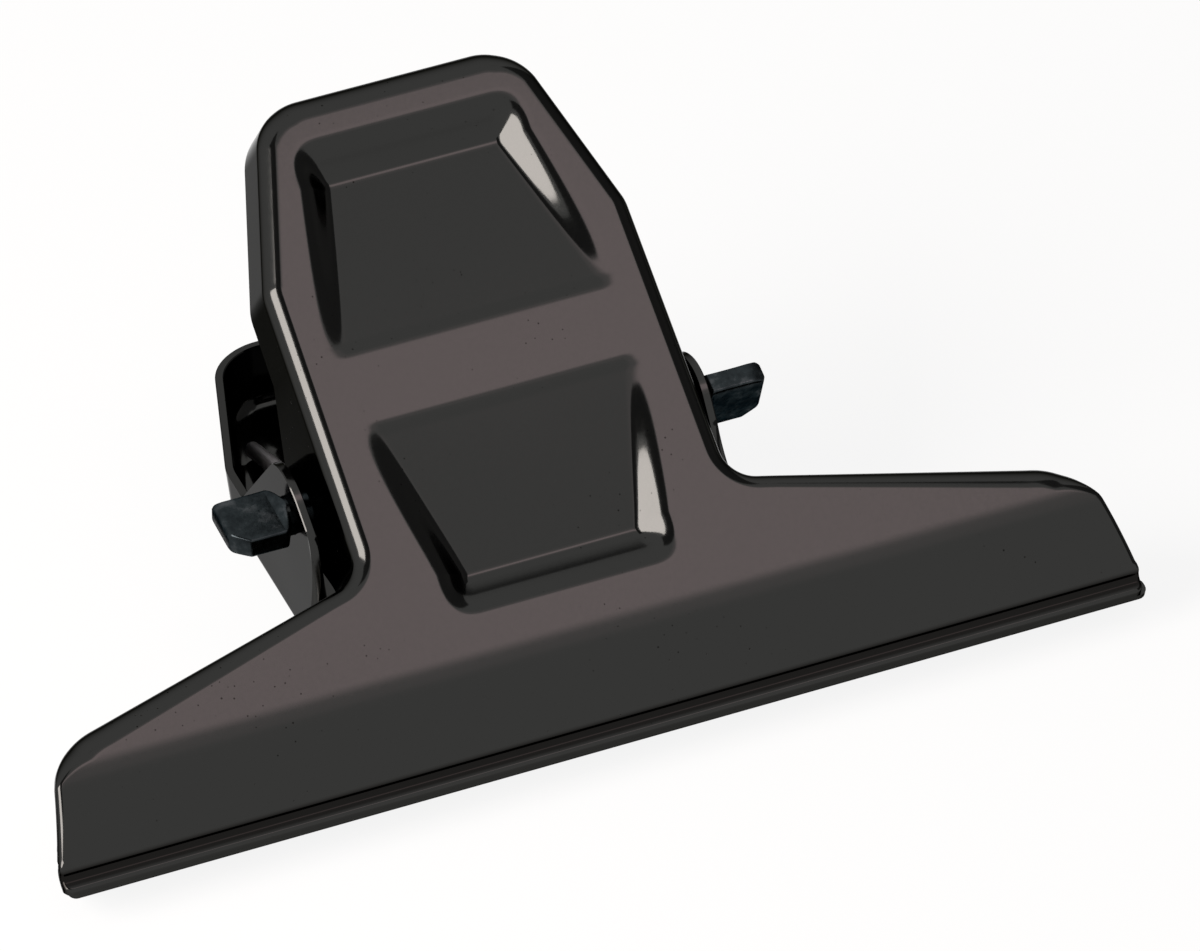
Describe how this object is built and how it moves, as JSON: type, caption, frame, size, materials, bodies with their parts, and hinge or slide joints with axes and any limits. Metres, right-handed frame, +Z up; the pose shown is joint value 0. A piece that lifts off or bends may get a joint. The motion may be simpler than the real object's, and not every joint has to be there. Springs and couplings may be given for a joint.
{
  "type": "bulldog clip",
  "caption": "Wide bulldog clip of pressed sheet steel: two hinged jaw plates with thumb panels on a cross pin, held shut by wound springs.",
  "frame": {"origin": "middle of the flat bar between the lower plate's thumb panels, on its outer face, which the clip lies on", "axes": "+X along the jaw, +Y from the lips back to the handles, +Z up from the lower plate's outer face"},
  "size_m": [0.1274, 0.0806, 0.0532],
  "materials": {
    "lower_plate": "black nickel plated pressed sheet steel, glossy",
    "upper_plate": "black nickel plated pressed sheet steel, glossy",
    "axle_pin": "blued steel rod with squashed ends",
    "left_spring": "bare spring steel wire",
    "right_spring": "bare spring steel wire"
  },
  "bodies": {
    "base": {"lower_plate": "lower_plate", "axle_pin": "axle_pin", "left_spring": "left_spring", "right_spring": "right_spring"},
    "jaw": {"upper_plate": "upper_plate"}
  },
  "joints": [
    {"name": "jaw_hinge", "type": "hinge", "parent": "base", "child": "jaw", "pos_m": [0, -0.01063, 0.01951], "axis": [-1, 0, 0], "range_deg": [0, 52], "stiffness_Nm_per_rad": 1.7, "springref_deg": -34.38, "deforming": ["left_spring", "right_spring"]}
  ]
}
